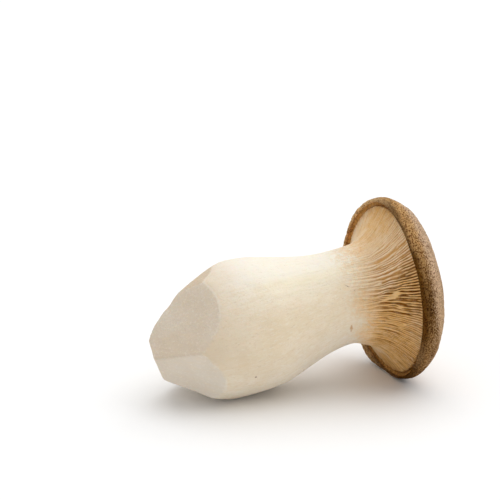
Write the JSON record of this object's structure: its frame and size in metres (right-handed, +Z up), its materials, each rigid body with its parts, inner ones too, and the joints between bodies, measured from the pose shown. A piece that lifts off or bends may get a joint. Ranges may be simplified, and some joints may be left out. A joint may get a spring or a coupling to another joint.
{
  "type": "king oyster mushroom",
  "caption": "Whole king oyster mushroom lying on its side: thick pale stem with a knife-trimmed base, flaring into a gilled brown cap with an inrolled margin.",
  "frame": {"origin": "on the resting surface, under the middle of the mushroom", "axes": "+X along the stem from the trimmed base to the cap, +Z up"},
  "size_m": [0.1081, 0.0734, 0.0688],
  "materials": {
    "flesh": "matt to satin ivory stem flesh, with fine lengthwise fibres and whiter knife cuts",
    "gills": "matt cream-tan gill blades",
    "cap_skin": "matt tan-brown skin with fine darker specks and pits"
  },
  "bodies": {
    "root": {"mushroom": "flesh"}
  },
  "joints": []
}
